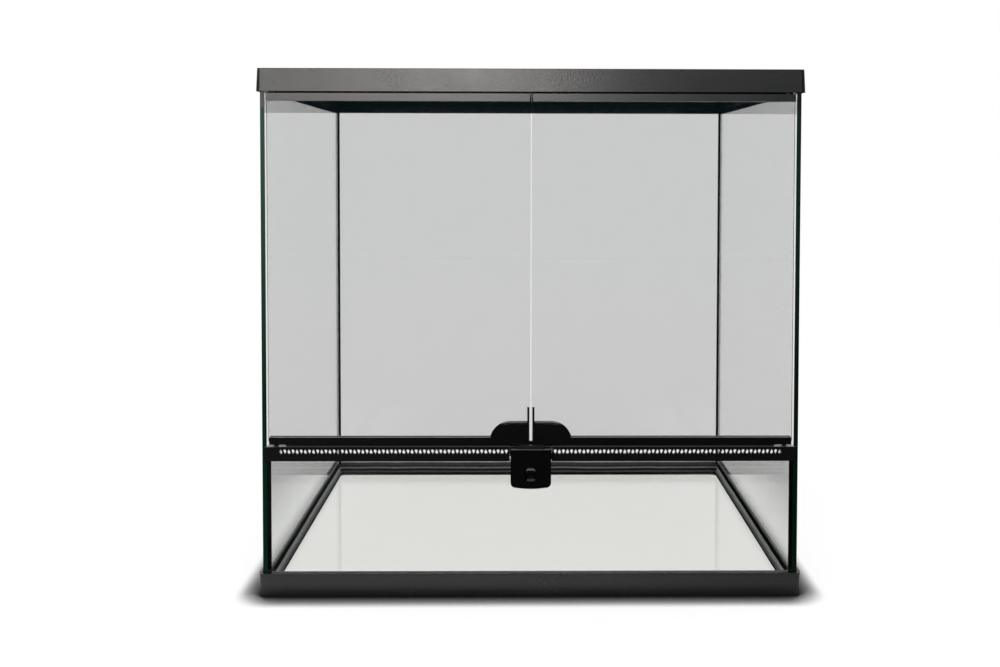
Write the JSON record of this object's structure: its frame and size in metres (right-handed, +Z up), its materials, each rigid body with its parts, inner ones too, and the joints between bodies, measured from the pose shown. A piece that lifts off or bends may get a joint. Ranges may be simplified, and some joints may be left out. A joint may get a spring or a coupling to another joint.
{
  "type": "reptile terrarium",
  "caption": "Front-opening glass terrarium in black frames, with hinged doors, vent strip, sliding door lock, lift-off mesh lid with catches and closable cable inlets.",
  "frame": {"origin": "middle of the footprint, on the surface that the terrarium stands on", "axes": "+X to the right seen from the front, +Y from the doors to the back, +Z up"},
  "size_m": [0.603, 0.461, 0.585],
  "materials": {
    "frame_plastic": "satin black moulded plastic with a fine grain",
    "lock_plastic": "satin black moulded plastic",
    "glass": "clear float glass with green ground edges",
    "silicone": "black silicone",
    "bush": "smooth black bearing plastic",
    "steel": "bright steel",
    "mesh": "woven stainless wire"
  },
  "bodies": {
    "tank": {"base_frame": "frame_plastic", "floor_glass": "glass", "left_side_glass": "glass", "right_side_glass": "glass", "back_glass": "glass", "front_window_glass": "glass", "floor_seam": "silicone", "back_left_seam": "silicone", "back_right_seam": "silicone", "front_left_seam": "silicone", "front_right_seam": "silicone", "top_frame": "frame_plastic", "left_vent_strip": "frame_plastic", "right_vent_strip": "frame_plastic", "lock_housing": "lock_plastic", "lock_back_plate": "lock_plastic", "lock_screws": "steel", "upper_left_bush": "bush", "upper_right_bush": "bush", "lower_left_bush": "bush", "lower_right_bush": "bush"},
    "left_door": {"left_door_glass": "glass", "left_door_bottom_rail": "frame_plastic", "left_door_top_rail": "frame_plastic", "left_door_lower_pin": "steel", "left_door_upper_pin": "steel"},
    "right_door": {"right_door_glass": "glass", "right_door_bottom_rail": "frame_plastic", "right_door_top_rail": "frame_plastic", "right_door_lower_pin": "steel", "right_door_upper_pin": "steel"},
    "lock_bolt": {"lock_bolt": "lock_plastic"},
    "lid": {"lid_frame": "frame_plastic", "lid_mesh": "mesh", "lid_clamp": "frame_plastic"},
    "left_catch": {"left_lid_catch": "frame_plastic", "left_catch_pivot": "steel"},
    "right_catch": {"right_lid_catch": "frame_plastic", "right_catch_pivot": "steel"},
    "left_shutter": {"left_cable_shutter": "frame_plastic"},
    "right_shutter": {"right_cable_shutter": "frame_plastic"}
  },
  "joints": [
    {"name": "left_door_hinge", "type": "hinge", "parent": "tank", "child": "left_door", "pos_m": [-0.282, -0.22, 0], "axis": [0, 0, -1], "range_deg": [0, 120]},
    {"name": "right_door_hinge", "type": "hinge", "parent": "tank", "child": "right_door", "pos_m": [0.282, -0.22, 0], "axis": [0, 0, 1], "range_deg": [0, 120]},
    {"name": "lock_slide", "type": "slide", "parent": "tank", "child": "lock_bolt", "axis": [0, 0, 1], "range_m": [0, 0.0033]},
    {"name": "lid_lift", "type": "slide", "parent": "tank", "child": "lid", "axis": [0, 0, 1], "range_m": [0, 0.06]},
    {"name": "left_catch_turn", "type": "hinge", "parent": "tank", "child": "left_catch", "pos_m": [-0.2, 0.184, 0], "axis": [0, 0, -1], "range_deg": [0, 90]},
    {"name": "right_catch_turn", "type": "hinge", "parent": "tank", "child": "right_catch", "pos_m": [0.2, 0.184, 0], "axis": [0, 0, 1], "range_deg": [0, 90]},
    {"name": "left_shutter_slide", "type": "slide", "parent": "tank", "child": "left_shutter", "axis": [1, 0, 0], "range_m": [0, 0.0559]},
    {"name": "right_shutter_slide", "type": "slide", "parent": "tank", "child": "right_shutter", "axis": [-1, 0, 0], "range_m": [0, 0.0559]}
  ]
}
